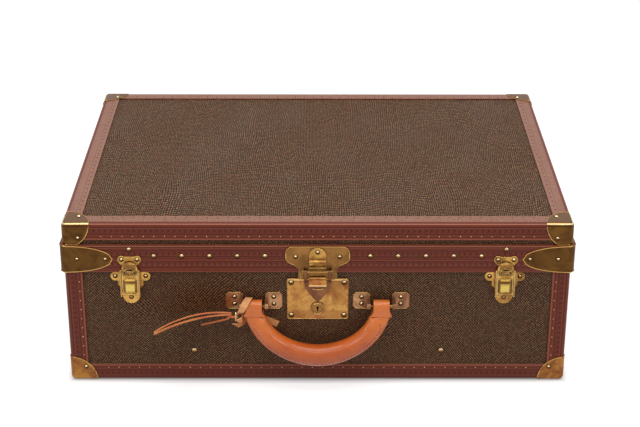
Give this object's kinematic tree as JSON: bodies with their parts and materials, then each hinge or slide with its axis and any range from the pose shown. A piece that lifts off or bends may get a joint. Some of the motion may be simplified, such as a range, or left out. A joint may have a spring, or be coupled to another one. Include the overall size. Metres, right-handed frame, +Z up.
{
  "type": "suitcase",
  "caption": "Hard-sided suitcase lying flat: coated-canvas shell with fibre edge trims, brass corners, lock, hasp and latches, leather handle and luggage tag, hinged lid.",
  "frame": {"origin": "on the floor under the middle of the case's shell, in the plane that the bottom corner caps stand on, just below the bottom panel", "axes": "+X to the right along the case's width seen from the handle side, -Y towards the handle and lock side, +Z up"},
  "size_m": [0.6108, 0.4975, 0.2132],
  "materials": {
    "plywood": "plain birch plywood, hidden under canvas and lining",
    "coated_canvas": "coated canvas, semi-matt, dark brown with a fine golden-olive bead grain",
    "lining_cloth": "plain woven cotton, beige",
    "vulcanised_fibre": "reddish-brown lacquered fibre, embossed along its edges, satin with worn spots",
    "antique_brass": "old brass, dark brown patina in the hollows, rubbed bright at the edges",
    "bright_brass": "brass nail and rivet heads, lightly tarnished",
    "steel": "plain steel, inside the lock and the handle",
    "handle_leather": "vegetable-tanned leather, orange-tan, smooth, waxed, stitched along its outer edge",
    "tag_leather": "thin tan leather with raw lighter edges",
    "strap_leather": "pale tan leather strap",
    "packing_leather": "brown leather straps inside the base"
  },
  "bodies": {
    "base": {"base_floor_board": "plywood", "base_long_boards": "plywood", "base_side_boards": "plywood", "base_canvas": "coated_canvas", "base_lining": "lining_cloth", "base_edge_trim": "vulcanised_fibre", "base_trim_nails": "bright_brass", "base_corner_caps": "antique_brass", "base_cap_rivets": "bright_brass", "base_back_strip": "vulcanised_fibre", "rim_frame": "plywood", "lock_plate": "antique_brass", "lock_rivets": "bright_brass", "lock_case": "steel", "handle_brackets": "antique_brass", "bracket_rivets": "bright_brass", "handle_pins": "antique_brass", "latch_plates": "antique_brass", "latch_rivets": "bright_brass", "latch_pins": "antique_brass", "packing_straps": "packing_leather", "strap_buckles": "bright_brass", "strap_studs": "bright_brass", "hinge_base_leaves": "antique_brass", "hinge_base_rivets": "bright_brass", "hinge_pins": "antique_brass"},
    "lid": {"lid_top_board": "plywood", "lid_long_boards": "plywood", "lid_side_boards": "plywood", "lid_canvas": "coated_canvas", "lid_lining": "lining_cloth", "lid_edge_trim": "vulcanised_fibre", "lid_trim_nails": "bright_brass", "lid_corner_caps": "antique_brass", "lid_cap_rivets": "bright_brass", "lid_band": "vulcanised_fibre", "band_rivets": "bright_brass", "band_end_caps": "antique_brass", "band_cap_rivets": "bright_brass", "hasp_plate": "antique_brass", "hasp_rivets": "bright_brass", "hasp_spring": "antique_brass", "hasp_pin": "antique_brass", "latch_keepers": "antique_brass", "keeper_rivets": "bright_brass", "hinge_lid_leaves": "antique_brass", "hinge_lid_rivets": "bright_brass"},
    "hasp": {"hasp_tongue": "antique_brass"},
    "left_hook": {"left_latch_hook": "antique_brass"},
    "right_hook": {"right_latch_hook": "antique_brass"},
    "handle": {"handle_core": "steel", "handle_grip": "handle_leather", "handle_ends": "handle_leather", "handle_bushes": "steel", "tag_loop_strap": "strap_leather", "tag_buckle": "bright_brass"},
    "tag": {"tag_leaves": "tag_leather", "tag_tail": "tag_leather"},
    "plug": {"lock_plug": "antique_brass"},
    "bolt": {"lock_bolt": "steel"}
  },
  "joints": [
    {"name": "lid_hinge", "type": "hinge", "parent": "base", "child": "lid", "pos_m": [0, 0.2265, 0.161], "axis": [-1, 0, 0], "range_deg": [0, 105]},
    {"name": "hasp_hinge", "type": "hinge", "parent": "lid", "child": "hasp", "pos_m": [0, -0.2287, 0.1518], "axis": [-1, 0, 0], "range_deg": [0, 95]},
    {"name": "left_latch", "type": "hinge", "parent": "base", "child": "left_hook", "pos_m": [-0.222, -0.2256, 0.1223], "axis": [1, 0, 0], "range_deg": [0, 110]},
    {"name": "right_latch", "type": "hinge", "parent": "base", "child": "right_hook", "pos_m": [0.222, -0.2256, 0.1223], "axis": [1, 0, 0], "range_deg": [0, 110]},
    {"name": "handle_swing", "type": "hinge", "parent": "base", "child": "handle", "pos_m": [0, -0.231, 0.1076], "axis": [-1, 0, 0], "range_deg": [0, 100]},
    {"name": "tag_swing", "type": "hinge", "parent": "handle", "child": "tag", "pos_m": [-0.0968, -0.242, 0.099], "axis": [0, -0.8829, 0.4695], "range_deg": [0, 60]},
    {"name": "plug_turn", "type": "hinge", "parent": "base", "child": "plug", "pos_m": [0, -0.2185, 0.0995], "axis": [0, 1, 0], "range_deg": [0, 90]},
    {"name": "bolt_slide", "type": "slide", "parent": "base", "child": "bolt", "axis": [1, 0, 0], "range_m": [0, 0.008]}
  ],
  "couplings": [
    {"joint": "plug_turn", "follows": "bolt_slide", "rad_per_m": 196.35}
  ]
}
